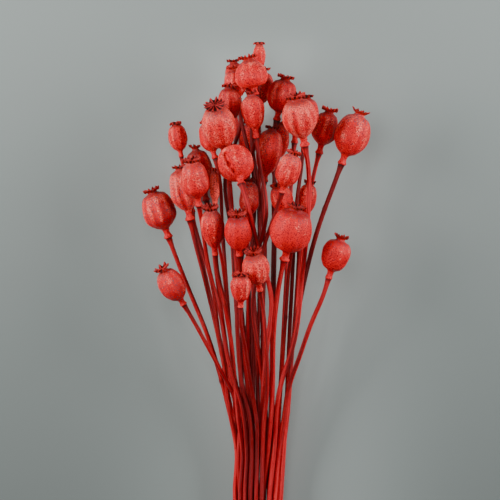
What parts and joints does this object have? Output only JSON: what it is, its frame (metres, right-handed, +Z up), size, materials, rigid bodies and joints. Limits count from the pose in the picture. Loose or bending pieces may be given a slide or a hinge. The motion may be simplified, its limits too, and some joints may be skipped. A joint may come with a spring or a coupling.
{
  "type": "dried poppy seed head bunch",
  "caption": "Gathered bunch of dyed dried poppy seed heads on long stems, lying on its side, with a plain elastic band round the stems.",
  "frame": {"origin": "middle of the bunch's box, on the surface that it lies on", "axes": "+Y along the bunch from the cut stem ends to the heads, +Z up from the surface, +X to the right when looked down on with the heads away from the viewer"},
  "size_m": [0.2288, 0.5982, 0.1361],
  "materials": {
    "dyed_poppy": "dyed dried plant, dull to slightly waxy",
    "band": "plain elastic band, dull"
  },
  "bodies": {
    "root": {"poppy_01": "dyed_poppy", "poppy_02": "dyed_poppy", "poppy_03": "dyed_poppy", "poppy_04": "dyed_poppy", "poppy_05": "dyed_poppy", "poppy_06": "dyed_poppy", "poppy_07": "dyed_poppy", "poppy_08": "dyed_poppy", "poppy_09": "dyed_poppy", "poppy_10": "dyed_poppy", "poppy_11": "dyed_poppy", "poppy_12": "dyed_poppy", "poppy_13": "dyed_poppy", "poppy_14": "dyed_poppy", "poppy_15": "dyed_poppy", "poppy_16": "dyed_poppy", "poppy_17": "dyed_poppy", "poppy_18": "dyed_poppy", "poppy_19": "dyed_poppy", "poppy_20": "dyed_poppy", "poppy_21": "dyed_poppy", "poppy_22": "dyed_poppy", "poppy_23": "dyed_poppy", "poppy_24": "dyed_poppy", "poppy_25": "dyed_poppy", "poppy_26": "dyed_poppy", "poppy_27": "dyed_poppy", "poppy_28": "dyed_poppy", "poppy_29": "dyed_poppy", "poppy_30": "dyed_poppy", "poppy_31": "dyed_poppy", "poppy_32": "dyed_poppy", "poppy_33": "dyed_poppy", "poppy_34": "dyed_poppy", "poppy_35": "dyed_poppy", "poppy_36": "dyed_poppy", "poppy_37": "dyed_poppy", "poppy_38": "dyed_poppy", "tie": "band"}
  },
  "joints": []
}
